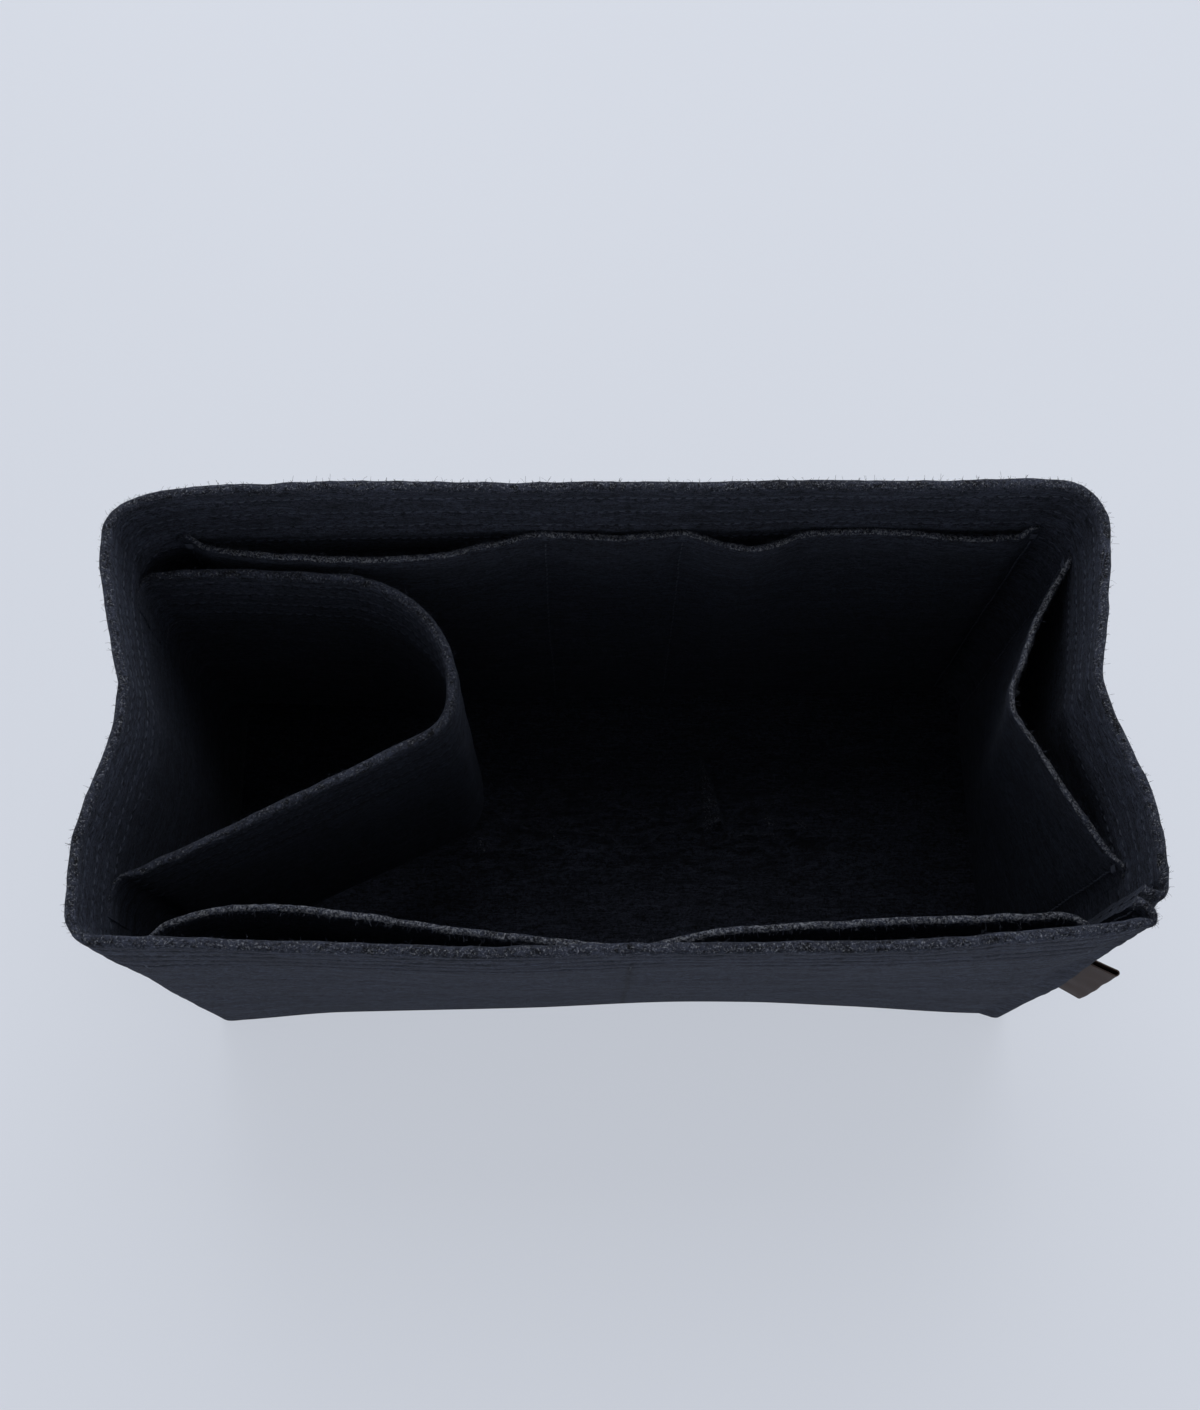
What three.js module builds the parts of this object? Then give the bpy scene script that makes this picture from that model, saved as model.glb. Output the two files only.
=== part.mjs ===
import * as THREE from 'three';
import { mergeVertices } from 'three/addons/utils/BufferGeometryUtils.js';

// A soft felt insert that stands inside a handbag: four hemmed walls, a base, pockets along three
// walls and a bottle loop. Millimetres, +Z up, front wall towards -Y, origin under the base's middle.

const { lerp, smoothstep, degToRad } = THREE.MathUtils;

// Box of walls, measured outside
const rimWidth = 300;
const rimDepth = 138;
const wallHeight = 175;
const baseWidth = 297;
const baseDepth = 133;
const backCornerRadius = 15;
const frontCornerRadius = 12;

// Felt, sewing thread and the clearance between layers that are sewn together
const felt = 2.2;
const thread = 0.6;
const sewnGap = 0.3;
const rawEdge = 0.6;
const foldRound = 1.2;

// How the soft walls stand: the ends crease inward, the front bows out at its rim and in at its base
const creaseDepth = 9.2;
const creaseSpan = 92;
const creaseReach = 60;
const rimBow = 3;
const baseBow = 4;

// Hem folded to the inside along the rim, with rows of stitching
const hemHeight = 40;
const rimRows = 4;
const rimRowInset = 6;
const rimRowPitch = 8.5;
const baseSeamHeight = 5;

// Seam that closes the strip of walls at the front right corner, allowances turned inward
const seamFoldRadius = 5;
const seamAllowance = 6;

// Pocket strips: how far their mouths lie under the rim, where they end and how far they gape,
// with the back's pockets counted from the right
const pocketDrop = 26;
const pocketEndFlat = 3;
const backPocketLeftEnd = 20;
const backPocketRightEnd = 19;
const backDividers = [24, -20];
const backGapes = [5.5, 2.5, 5.5];
const backPeaks = [0.75, 0.5, 0.45];
const frontPocketLeftEnd = 18;
const frontPocketRightEnd = 20;
const frontDivider = 4;
const frontGapes = [9.5, 5];
const frontPeaks = [0.25, 0.6];
const sidePocketFrontEnd = 23;
const sidePocketRearEnd = 19;
const sideGape = 12.5;
const sidePeak = 0.55;
const softMouth = 1;
const sharpMouth = 0.22;

// Bottle loop: a hemmed strip sewn to the left end wall by two tabs
const loopReach = 99;
const loopBottom = 30;
const loopDrop = 28;
const loopHem = 35;
const loopClearance = 2.4;
const loopBackRadius = 28;
const loopNose = 16;
const loopFrontRadius = 15;
const loopLegAngle = 24.5;
const loopTab = 8;
const loopTabBend = 5;
const loopRows = 4;
const loopRowInset = 5;
const loopRowPitch = 7.5;

// Folded satin label held in the corner seam
const labelReach = 16;
const labelHeight = 50;
const labelBottom = 61;
const labelThickness = 0.4;
const labelLoop = 1.6;
const labelInset = 6;
const labelAngle = -28;

// Facet lengths, and how many rows of facets a strip has
const longStep = 28;
const endStep = 6;
const pocketStep = 9;
const loopStep = 18;
const arcStep = degToRad(18);
const wallSteps = 4;
const pocketSteps = 5;
const loopSteps = 3;

const halfWidth = rimWidth / 2;
const halfDepth = rimDepth / 2;
const hemBottom = wallHeight - hemHeight;
const layers = 2 * felt;
const seatDepth = layers + sewnGap;
const pocketFloor = felt + sewnGap;
const pocketTop = wallHeight - pocketDrop;
const loopTop = wallHeight - loopDrop;

const feltBlack = new THREE.MeshStandardMaterial({ color: 0x1c1e23, roughness: 0.95, metalness: 0 });
const threadBlack = new THREE.MeshStandardMaterial({ color: 0x15161a, roughness: 0.7, metalness: 0 });
const satinBrown = new THREE.MeshStandardMaterial({ color: 0x3a2a26, roughness: 0.45, metalness: 0 });

const insert = new THREE.Group();

function add(name, geometry, material) {
  const mesh = new THREE.Mesh(geometry, material);
  mesh.name = name;
  insert.add(mesh);
}

// The stance of the soft box, shared by every piece so that what is sewn together stays together
function drape(x, y, z) {
  const rise = z / wallHeight;
  const nearEnd = smoothstep(Math.abs(x), halfWidth - creaseReach, halfWidth);
  const alongEnd = THREE.MathUtils.clamp(y / creaseSpan, -0.5, 0.5);
  const crease = creaseDepth * rise * nearEnd * Math.cos(Math.PI * alongEnd) ** 2;
  const nearFront = smoothstep(-y, 0, halfDepth);
  const alongFront = THREE.MathUtils.clamp(x / rimWidth, -0.5, 0.5);
  const bow = lerp(-baseBow, rimBow, rise) * nearFront * Math.cos(Math.PI * alongFront) ** 2;
  return new THREE.Vector3(
    x * lerp(baseWidth / rimWidth, 1, rise) - Math.sign(x) * crease,
    y * lerp(baseDepth / rimDepth, 1, rise) - bow,
    z,
  );
}

// A closed slab with a grid of points on each of its two faces
function slab(columns, rows, place) {
  const box = new THREE.BoxGeometry(1, 1, 1, columns - 1, rows - 1, 1);
  box.deleteAttribute('normal');
  box.deleteAttribute('uv');
  const points = box.attributes.position;
  for (let i = 0; i < points.count; i += 1) {
    const column = Math.round((points.getX(i) + 0.5) * (columns - 1));
    const row = Math.round((points.getY(i) + 0.5) * (rows - 1));
    const [x, y, z] = place(column, row, points.getZ(i) > 0);
    const p = drape(x, y, z);
    points.setXYZ(i, p.x, p.y, p.z);
  }
  const closed = mergeVertices(box);
  closed.computeVertexNormals();
  return closed;
}

// Felt standing on edge along a path: each row has a height and the depths of its two faces, counted
// towards the inside, which is to the left of the path or, for the loop, to its right
function sheet(stations, rows, { inside = 1, lift = () => 0 } = {}) {
  return slab(stations.length, rows.length, (column, index, rightFace) => {
    const station = stations[column];
    const row = rows[index];
    const face = rightFace === inside > 0 ? row.outer : row.inner;
    const depth = inside * (face + lift(station, row));
    const z = Math.max(row.z, station.floor ?? 0);
    return [station.x + depth * station.left.x, station.y + depth * station.left.y, z];
  });
}

const line = (x0, y0, x1, y1) => new THREE.LineCurve(new THREE.Vector2(x0, y0), new THREE.Vector2(x1, y1));

function arc(x, y, radius, startDegrees, endDegrees) {
  const start = degToRad(startDegrees);
  const end = degToRad(endDegrees);
  return new THREE.EllipseCurve(x, y, radius, radius, start, end, end < start);
}

// Points along one curve, each with the direction to its left
function stationsOn(curve, step) {
  const turn = curve.isEllipseCurve ? Math.abs(curve.aEndAngle - curve.aStartAngle) : 0;
  const count = Math.max(1, Math.ceil(turn ? turn / arcStep : curve.getLength() / step));
  return Array.from({ length: count + 1 }, (_, i) => {
    const point = curve.getPoint(i / count);
    const heading = curve.getTangent(i / count);
    return { x: point.x, y: point.y, left: new THREE.Vector2(-heading.y, heading.x) };
  });
}

// Points along curves that follow each other, with each shared end kept once
function stationsAlong(curves, step) {
  return curves.flatMap((curve, i) => stationsOn(curve, step).slice(i ? 1 : 0));
}

// Rows of a hemmed strip: one layer up to the hem, two above it, and a rounded fold along the top
function hemmedRows(bottom, top, hem, steps) {
  const rows = [];
  const hemStart = top - hem;
  for (let i = 0; i <= steps; i += 1) {
    rows.push({ z: lerp(bottom, hemStart - rawEdge, i / steps), outer: 0, inner: felt });
  }
  rows.push({ z: hemStart, outer: 0, inner: layers });
  rows.push({ z: top - foldRound, outer: 0, inner: layers });
  rows.push({ z: top, outer: foldRound, inner: layers - foldRound });
  return rows;
}

// Two rows that hold a line of thread against the outer face of a strip
function threadRows(z) {
  const faces = { outer: -sewnGap - thread, inner: -sewnGap };
  return [{ z: z - thread / 2, ...faces }, { z: z + thread / 2, ...faces }];
}

// Rows of a thread that climbs the inside face of a strip
function overInside(rows) {
  return rows.map(({ z, inner }) => ({ z, outer: inner + sewnGap, inner: inner + sewnGap + thread }));
}

// The strip of walls, outside face, counted counterclockwise from the front left corner
const foldTurn = 135;
const foldTangent = seamFoldRadius * Math.tan(degToRad(foldTurn / 2));
const diagonal = Math.SQRT1_2;
const seamShift = sewnGap / 2 / diagonal;
const foldEnd = foldTangent * diagonal;
const allowanceEnd = foldEnd + seamAllowance * diagonal;
const foldFrontX = halfWidth - seamShift - foldTangent;
const foldRightY = -halfDepth + seamShift + foldTangent;

const frontLine = line(-halfWidth + frontCornerRadius + sewnGap, -halfDepth, foldFrontX, -halfDepth);
const frontFold = arc(foldFrontX, -halfDepth + seamFoldRadius, seamFoldRadius, -90, foldTurn - 90);
const frontAllowance = line(
  halfWidth - seamShift - foldEnd, -halfDepth + foldEnd,
  halfWidth - seamShift - allowanceEnd, -halfDepth + allowanceEnd,
);
const rightAllowance = line(
  halfWidth - allowanceEnd, -halfDepth + seamShift + allowanceEnd,
  halfWidth - foldEnd, -halfDepth + seamShift + foldEnd,
);
const rightFold = arc(halfWidth - seamFoldRadius, foldRightY, seamFoldRadius, -foldTurn, 0);
const rightLine = line(halfWidth, foldRightY, halfWidth, halfDepth - backCornerRadius);
const rightCorner = arc(halfWidth - backCornerRadius, halfDepth - backCornerRadius, backCornerRadius, 0, 90);
const backLine = line(
  halfWidth - backCornerRadius - sewnGap, halfDepth,
  -halfWidth + backCornerRadius + sewnGap, halfDepth,
);
const leftBackCorner = arc(
  -halfWidth + backCornerRadius, halfDepth - backCornerRadius, backCornerRadius, 90, 180,
);
const leftLine = line(-halfWidth, halfDepth - backCornerRadius, -halfWidth, -halfDepth + frontCornerRadius);
const leftFrontCorner = arc(
  -halfWidth + frontCornerRadius, -halfDepth + frontCornerRadius, frontCornerRadius, 180, 270,
);

// The folded corner is trimmed to stand on top of the base
const onBase = (stations) => stations.map((station) => ({ ...station, floor: pocketFloor }));
const frontRun = stationsOn(frontLine, longStep);
const frontTurn = onBase(stationsAlong([frontFold, frontAllowance], endStep).slice(1));
const rightTurn = onBase(stationsAlong([rightAllowance, rightFold], endStep).slice(0, -1));
const rightRun = stationsAlong([rightLine, rightCorner], endStep);
const backRun = stationsOn(backLine, longStep);
const leftRun = stationsAlong([leftBackCorner, leftLine, leftFrontCorner], endStep);
const roundRun = [...rightRun, ...backRun, ...leftRun];

const wallRows = hemmedRows(0, wallHeight, hemHeight, wallSteps);
add('front_wall', sheet([...frontRun, ...frontTurn], wallRows), feltBlack);
add('right_end_wall', sheet([...rightTurn, ...rightRun], wallRows), feltBlack);
add('back_wall', sheet(backRun, wallRows), feltBlack);
add('left_end_wall', sheet(leftRun, wallRows), feltBlack);

for (let i = 0; i < rimRows; i += 1) {
  const rows = threadRows(wallHeight - rimRowInset - i * rimRowPitch);
  add(`rim_thread_front_${i + 1}`, sheet(frontRun, rows), threadBlack);
  add(`rim_thread_round_${i + 1}`, sheet(roundRun, rows), threadBlack);
}
add('base_thread_front', sheet(frontRun, threadRows(baseSeamHeight)), threadBlack);
add('base_thread_round', sheet(roundRun, threadRows(baseSeamHeight)), threadBlack);

// The thread that closes the corner runs up the middle of the front wall's turned allowance
const seamMiddle = seamAllowance / 2;
const cornerThread = stationsOn(frontAllowance, endStep)[0];
const alongAllowance = (distance) => ({
  ...cornerThread,
  x: cornerThread.x - distance * diagonal,
  y: cornerThread.y + distance * diagonal,
  floor: pocketFloor,
});
const cornerStations = [alongAllowance(seamMiddle - thread / 2), alongAllowance(seamMiddle + thread / 2)];
add('corner_seam_thread', sheet(cornerStations, overInside(wallRows)), threadBlack);

// The base lies inside the walls and follows their rounded corners
const basePanel = {
  halfWidth: halfWidth - felt - sewnGap,
  halfDepth: halfDepth - felt - sewnGap,
  backRadius: backCornerRadius - felt - sewnGap,
  frontRadius: frontCornerRadius - felt - sewnGap,
  cornerSteps: 5,
  middleSteps: 10,
  depthSteps: 6,
};

function baseColumns() {
  const cornerWidth = Math.max(basePanel.backRadius, basePanel.frontRadius);
  const corner = Array.from({ length: basePanel.cornerSteps }, (_, i) => (
    cornerWidth * (1 - Math.cos(i / basePanel.cornerSteps * Math.PI / 2))
  ));
  const left = corner.map((inset) => inset - basePanel.halfWidth);
  const inner = basePanel.halfWidth - cornerWidth;
  const middle = Array.from({ length: basePanel.middleSteps + 1 }, (_, i) => (
    lerp(-inner, inner, i / basePanel.middleSteps)
  ));
  const right = corner.map((inset) => basePanel.halfWidth - inset).reverse();
  return [...left, ...middle, ...right];
}

function cornerLoss(x, radius) {
  const past = Math.max(0, Math.abs(x) - (basePanel.halfWidth - radius));
  return radius - Math.sqrt(Math.max(0, radius ** 2 - past ** 2));
}

const columns = baseColumns();
const baseGeometry = slab(columns.length, basePanel.depthSteps + 1, (column, row, upper) => {
  const x = columns[column];
  const front = -basePanel.halfDepth + cornerLoss(x, basePanel.frontRadius);
  const back = basePanel.halfDepth - cornerLoss(x, basePanel.backRadius);
  return [x, lerp(front, back, row / basePanel.depthSteps), upper ? felt : 0];
});
add('base_panel', baseGeometry, feltBlack);

// How far a pocket mouth stands off its wall at a share of its width: most at its peak,
// nothing at its ends
function mouth(share, peak, roundness) {
  const reach = share < peak ? (peak - share) / peak : (share - peak) / (1 - peak);
  return 1 - (Math.hypot(reach, roundness) - roundness) / (Math.hypot(1, roundness) - roundness);
}

// Pocket rows climb from the base to the mouth, over the edge of the hem
const pocketRows = [];
for (let i = 0; i < pocketSteps; i += 1) {
  const climb = i / (pocketSteps - 1);
  pocketRows.push({
    z: lerp(pocketFloor, hemBottom - 2 * rawEdge, climb),
    seat: lerp(felt + sewnGap, seatDepth, climb),
  });
}
pocketRows.push({ z: pocketTop, seat: seatDepth });
const feltFaces = pocketRows.map((row) => ({ ...row, outer: row.seat, inner: row.seat + felt }));
const threadFaces = pocketRows.map((row) => ({
  ...row,
  outer: row.seat + felt + sewnGap,
  inner: row.seat + felt + sewnGap + thread,
}));

// A strip of pockets: its seams, in order along the strip, are places where it lies flat on the wall
function pocketStrip(place, seams, gapes, peaks, roundness) {
  const heading = Math.sign(seams.at(-1) - seams[0]);
  const stations = [{ ...place(seams[0] - heading * pocketEndFlat), gape: 0 }];
  gapes.forEach((gape, i) => {
    const [start, end] = [seams[i], seams[i + 1]];
    const count = Math.ceil(Math.abs(end - start) / pocketStep);
    for (let k = i ? 1 : 0; k <= count; k += 1) {
      const share = k / count;
      stations.push({ ...place(lerp(start, end, share)), gape: gape * mouth(share, peaks[i], roundness) });
    }
  });
  stations.push({ ...place(seams.at(-1) + heading * pocketEndFlat), gape: 0 });
  const swell = (station, row) => station.gape * (row.z - pocketFloor) / (pocketTop - pocketFloor);
  return sheet(stations, feltFaces, { lift: swell });
}

// A vertical line of thread on the face of a pocket strip, at each seam that holds the strip flat
function addSeamThreads(name, place, seams) {
  const heading = Math.sign(seams.at(-1) - seams[0]);
  seams.forEach((at, i) => {
    const edges = [place(at - heading * thread / 2), place(at + heading * thread / 2)];
    add(`${name}_${i + 1}`, sheet(edges, threadFaces), threadBlack);
  });
}

const onFront = (x) => ({ x, y: -halfDepth, left: new THREE.Vector2(0, 1) });
const onRight = (y) => ({ x: halfWidth, y, left: new THREE.Vector2(-1, 0) });
const onBack = (x) => ({ x, y: halfDepth, left: new THREE.Vector2(0, -1) });

const frontSeams = [-halfWidth + frontPocketLeftEnd, frontDivider, halfWidth - frontPocketRightEnd];
add('front_pocket_strip', pocketStrip(onFront, frontSeams, frontGapes, frontPeaks, softMouth), feltBlack);
addSeamThreads('front_pocket_thread', onFront, frontSeams);

const sideSeams = [-halfDepth + sidePocketFrontEnd, halfDepth - sidePocketRearEnd];
add('side_pocket_panel', pocketStrip(onRight, sideSeams, [sideGape], [sidePeak], sharpMouth), feltBlack);
addSeamThreads('side_pocket_thread', onRight, sideSeams);

const backSeams = [halfWidth - backPocketRightEnd, ...backDividers, -halfWidth + backPocketLeftEnd];
add('back_pocket_strip', pocketStrip(onBack, backSeams, backGapes, backPeaks, softMouth), feltBlack);
addSeamThreads('back_pocket_thread', onBack, backSeams);

// The bottle loop leaves a tab on the left end wall near the back, runs along the back pockets, rounds its
// nose and slants back to a second tab near the front; the path is its outer face
const rearTabX = -halfWidth + seatDepth;
const rearTabBend = loopTabBend + layers;
const frontTabX = rearTabX + layers;
const rearY = halfDepth - seatDepth - felt - Math.max(...backGapes) - loopClearance;
const noseX = -halfWidth + felt + loopReach;
const noseY = rearY - loopBackRadius - loopNose;
const legTurn = 90 - loopLegAngle;
const legHeading = degToRad(loopLegAngle);
const legStart = {
  x: noseX - loopFrontRadius + loopFrontRadius * Math.sin(legHeading),
  y: noseY - loopFrontRadius * Math.cos(legHeading),
};
const legEndX = frontTabX + loopTabBend * (1 - Math.sin(legHeading));
const legEndY = legStart.y - (legStart.x - legEndX) * Math.tan(legHeading);
const frontTabY = legEndY - loopTabBend * Math.cos(legHeading);

const loopCurves = [
  line(rearTabX, rearY - rearTabBend - loopTab, rearTabX, rearY - rearTabBend),
  arc(rearTabX + rearTabBend, rearY - rearTabBend, rearTabBend, 180, 90),
  line(rearTabX + rearTabBend, rearY, noseX - loopBackRadius, rearY),
  arc(noseX - loopBackRadius, rearY - loopBackRadius, loopBackRadius, 90, 0),
  line(noseX, rearY - loopBackRadius, noseX, noseY),
  arc(noseX - loopFrontRadius, noseY, loopFrontRadius, 0, -legTurn),
  line(legStart.x, legStart.y, legEndX, legEndY),
  arc(frontTabX + loopTabBend, frontTabY, loopTabBend, 180 - legTurn, 180),
  line(frontTabX, frontTabY, frontTabX, frontTabY - loopTab),
];
const loopRun = stationsAlong(loopCurves, loopStep);
const loopFeltRows = hemmedRows(loopBottom, loopTop, loopHem, loopSteps);
const loopInside = { inside: -1 };
add('bottle_loop', sheet(loopRun, loopFeltRows, loopInside), feltBlack);

// Stitching along the loop's hem leaves the tabs free
const hemRun = stationsAlong(loopCurves.slice(2, 7), loopStep);
for (let i = 0; i < loopRows; i += 1) {
  const rows = threadRows(loopTop - loopRowInset - i * loopRowPitch);
  add(`loop_thread_${i + 1}`, sheet(hemRun, rows, loopInside), threadBlack);
}

// A line of thread up the middle of each tab, on the face that shows
function tabThread(curve, rows) {
  const start = stationsOn(curve, loopTab)[0];
  const heading = new THREE.Vector2(start.left.y, -start.left.x);
  const edges = [loopTab / 2 - thread / 2, loopTab / 2 + thread / 2].map((distance) => ({
    ...start,
    x: start.x + distance * heading.x,
    y: start.y + distance * heading.y,
  }));
  return sheet(edges, rows, loopInside);
}
const outsideRows = loopFeltRows.map(({ z }) => ({ z, outer: -sewnGap - thread, inner: -sewnGap }));
add('loop_tab_thread_rear', tabThread(loopCurves[0], overInside(loopFeltRows)), threadBlack);
add('loop_tab_thread_front', tabThread(loopCurves.at(-1), outsideRows), threadBlack);

// The label is a satin ribbon folded in two, its cut ends in the notch of the corner seam
const labelRest = degToRad(labelAngle);
const out = new THREE.Vector2(Math.cos(labelRest), Math.sin(labelRest));
const across = new THREE.Vector2(-out.y, out.x).multiplyScalar(labelLoop / 2);
const labelRoot = new THREE.Vector2(halfWidth - labelInset, -halfDepth + labelInset);
const labelTip = labelRoot.clone().addScaledVector(out, labelReach - labelLoop / 2);
const labelCurves = [
  new THREE.LineCurve(labelRoot.clone().sub(across), labelTip.clone().sub(across)),
  arc(labelTip.x, labelTip.y, labelLoop / 2, labelAngle - 90, labelAngle + 90),
  new THREE.LineCurve(labelTip.clone().add(across), labelRoot.clone().add(across)),
];
const labelFaces = { outer: 0, inner: labelThickness };
const labelRows = [labelBottom, labelBottom + labelHeight].map((z) => ({ z, ...labelFaces }));
add('label_tag', sheet(stationsAlong(labelCurves, labelReach), labelRows), satinBrown);

export default insert;
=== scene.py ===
import math

import bmesh
import bpy
import numpy as np
from mathutils import Matrix, Vector


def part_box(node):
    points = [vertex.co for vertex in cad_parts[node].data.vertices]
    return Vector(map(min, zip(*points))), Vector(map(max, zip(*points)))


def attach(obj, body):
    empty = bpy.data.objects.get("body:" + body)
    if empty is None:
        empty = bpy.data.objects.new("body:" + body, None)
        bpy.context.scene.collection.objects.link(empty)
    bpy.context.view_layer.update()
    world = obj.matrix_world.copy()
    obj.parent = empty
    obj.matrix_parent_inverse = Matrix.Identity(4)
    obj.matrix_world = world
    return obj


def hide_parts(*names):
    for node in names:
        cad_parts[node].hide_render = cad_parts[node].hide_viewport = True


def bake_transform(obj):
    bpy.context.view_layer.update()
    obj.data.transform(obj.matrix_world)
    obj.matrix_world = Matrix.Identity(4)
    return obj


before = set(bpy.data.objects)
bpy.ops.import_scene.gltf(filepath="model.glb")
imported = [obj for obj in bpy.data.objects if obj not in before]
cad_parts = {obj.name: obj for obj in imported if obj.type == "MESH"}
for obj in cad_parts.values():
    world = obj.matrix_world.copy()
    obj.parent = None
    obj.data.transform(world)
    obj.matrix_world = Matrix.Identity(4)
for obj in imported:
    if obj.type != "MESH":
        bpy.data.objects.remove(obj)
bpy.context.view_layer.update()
print("frame loaded:", len(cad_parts), "solids")

# A black felt insert for a handbag. Lengths are in mm here and turn to metres when a mesh is made.
metre = 1000
halfWidth = -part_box("left_end_wall")[0].x * metre
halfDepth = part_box("back_wall")[1].y * metre
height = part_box("back_wall")[1].z * metre

cloth = {
    "thick": 2.2,          # needled felt
    "pressed": 1.7,        # one layer of a hem, pressed flat by its stitching
    "gap": 0.2,            # between two layers that are sewn together
    "hem": 40,             # turned to the inside along the rim
    "hemEdge": 0.3,        # how thick its cut edge is, as a share, pressed down by wear
    "edgeRound": 0.7,      # how far a raw edge is rounded over
    "groove": 0.4,         # how deep a row of stitches presses into the felt
    "grooveWide": 1.5,
    "rowPaintedShade": 0.85, "rowPaintedShadeWide": 0.8,   # painted shade along each row of stitches: darker felt standing in for the shading of its groove
    "rowSunk": 0.25,       # thread lies deeper on the outside of a hem
    "bedded": 0.5,         # how far the pressed end of a sewn piece sinks into the felt under it
    "fold": 0.12,          # between the two layers of a hem
    "rimFade": 5,          # how far down the wear of a rim reaches
    "fray": 0.13, "frayLong": 2.6,
}
thick = cloth["thick"]
pressed = cloth["pressed"]
pocketFoot = thick + cloth["gap"]
hemFace = 2 * pressed + cloth["gap"]


# Curves and fields

def ease(value, start, end):
    t = np.clip((value - start) / (end - start), 0, 1)
    return t * t * (3 - 2 * t)


def mix(a, b, share):
    return a + (b - a) * share


def through(knots, at):   # a smooth curve through a few points that never overshoots them
    x, y = np.array(knots, float).T
    width = np.diff(x)
    slope = np.diff(y) / width
    tangent = np.zeros(len(x))
    before, after = slope[:-1], slope[1:]
    steady = before * after > 0
    tangent[1:-1][steady] = 2 * before[steady] * after[steady] / (before + after)[steady]
    i = np.clip(np.searchsorted(x, at) - 1, 0, len(width) - 1)
    t = np.clip((at - x[i]) / width[i], 0, 1)
    start = t * (1 - t) ** 2 * width[i] * tangent[i]
    end = t * t * (t - 1) * width[i] * tangent[i + 1]
    return mix(y[i], y[i + 1], (3 - 2 * t) * t * t) + start + end


def drift(points, wavelength, seed):   # a smooth random field, mostly between -1 and 1
    waves = 12
    rng = np.random.default_rng(seed)
    heading = rng.normal(size=(3, waves))
    heading *= rng.uniform(0.7, 1.5, waves) * 2 * math.pi / wavelength / np.linalg.norm(heading, axis=0)
    phase = rng.uniform(0, 2 * math.pi, waves)
    return np.sin(points @ heading + phase).sum(-1) / math.sqrt(waves)


# How the soft box stands. Knots along each side say how far it bulges out of its straight line, at the rim
# and at the base: the ends are creased inward from being folded flat, and the front bows.
stance = {
    "reach": 60,
    "left": {
        "rim": ((-69, 0), (-49, 0.8), (-40, 0.7), (-32, -1), (-14, -6.4), (-5, -8.4), (5, -8.6), (17, -5.7),
                (32, -1.9), (46, 0.7), (56, 1.1), (69, 0.6)),
        "base": ((-69, -0.3), (-20, -1.5), (69, -1.5)),
    },
    "right": {
        "rim": ((-69, 0.4), (-54, 1.2), (-46, 1.6), (-37, 1.2), (-29, 0), (-20, -2.7), (-11, -5.5), (-2, -8),
                (3, -8.7), (12, -7.4), (21, -5.5), (36, -2.9), (45, -1.5), (55, -0.6), (69, 0)),
        "base": ((-69, -0.5), (-20, -1.5), (69, -1.5)),
    },
    "front": {
        "rim": ((-150, -0.9), (-140, 0.2), (-115, 1.4), (-94, 2.4), (-72, 3.4), (-51, 4.5), (-29, 5.2),
                (24, 5.2), (67, 5.6), (89, 5), (111, 3.8), (122, 3.1), (129, 2.5), (136, 1.5), (146, -1.2),
                (150, -1.6)),
        "base": ((-150, -3), (-102, -5.4), (-35, -5.6), (22, -6.8), (51, -6.2), (89, -3.9), (150, 0)),
    },
    "back": {
        "rim": ((-150, -0.7), (-146.7, -0.8), (-143.6, -1.2), (-140, -1.3), (-136.7, -0.8), (-133.7, 0.1),
                (-129, 0.5), (-118, 1.4), (-93, 1.5), (-32, 0.5), (28, -0.3), (88, -0.7), (119, -1.2),
                (140, -2.4), (150, -3.6)),
        "base": ((-150, -2.5), (150, -2.5)),
    },
    "cornerWide": 9,
    "leftCorner": 2.6,                      # sharper at the base than at the rim
    "rightCorner": (5.4, 5.5), "rightCornerRim": (-1.2, 2.2), "rimFrom": 70,
    "notch": 3.4, "notchIn": 142, "notchOut": 150, "notchLow": 148,   # the sewn corner opens at the rim
    "sway": 0.3, "swayLong": 75,
    "pucker": 0.13, "puckerLong": 13, "ripple": 0.18, "rippleLong": 14,
    "rimWave": 0.5, "softFrom": 4, "softTo": 60,
}


def stand(points):
    s = stance
    x, y, z = np.moveaxis(points, -1, 0)
    rise = z / height

    def bulge(side, along):
        return mix(through(s[side]["base"], along), through(s[side]["rim"], along), rise)
    inner = halfWidth - s["reach"]
    right = ease(x, inner, halfWidth) * bulge("right", y)
    left = ease(-x, inner, halfWidth) * bulge("left", y)
    front = ease(-y, 0, halfDepth) * bulge("front", x)
    back = ease(y, 0, halfDepth) * bulge("back", x)
    nearX, nearY = halfWidth - s["cornerWide"], halfDepth - s["cornerWide"]
    leftCorner = s["leftCorner"] * (1 - rise) * ease(-x, nearX, halfWidth) * ease(-y, nearY, halfDepth)
    rightCorner = ease(x, nearX, halfWidth) * ease(-y, nearY, halfDepth)
    top = ease(z, s["rimFrom"], height)
    outX, outY = [
        rightCorner * mix(low, high, top) for low, high in zip(s["rightCorner"], s["rightCornerRim"])
    ]
    beyond = x + y > halfWidth - halfDepth      # on the end wall's side of the seam
    notch = s["notch"] * beyond * ease(z, s["notchLow"], height)
    notch = notch * ease((x - y) * math.sqrt(0.5), s["notchIn"], s["notchOut"])
    soft = ease(z, s["softFrom"], s["softTo"])
    swayX, swayY = [s["sway"] * soft * drift(points, s["swayLong"], seed) for seed in (3, 4)]
    puckerX, puckerY = [s["pucker"] * soft * drift(points, s["puckerLong"], seed) for seed in (5, 6)]
    ripple = s["ripple"] * ease(z, s["softTo"], height) * drift(points, s["rippleLong"], 8)
    return np.stack([
        x + right - left - leftCorner + outX + swayX + puckerX,
        y + back - front - leftCorner - outY + notch + swayY + puckerY,
        z + s["rimWave"] * ease(z, s["softTo"], height) * drift(points, s["swayLong"], 7) + ripple,
    ], -1)


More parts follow.
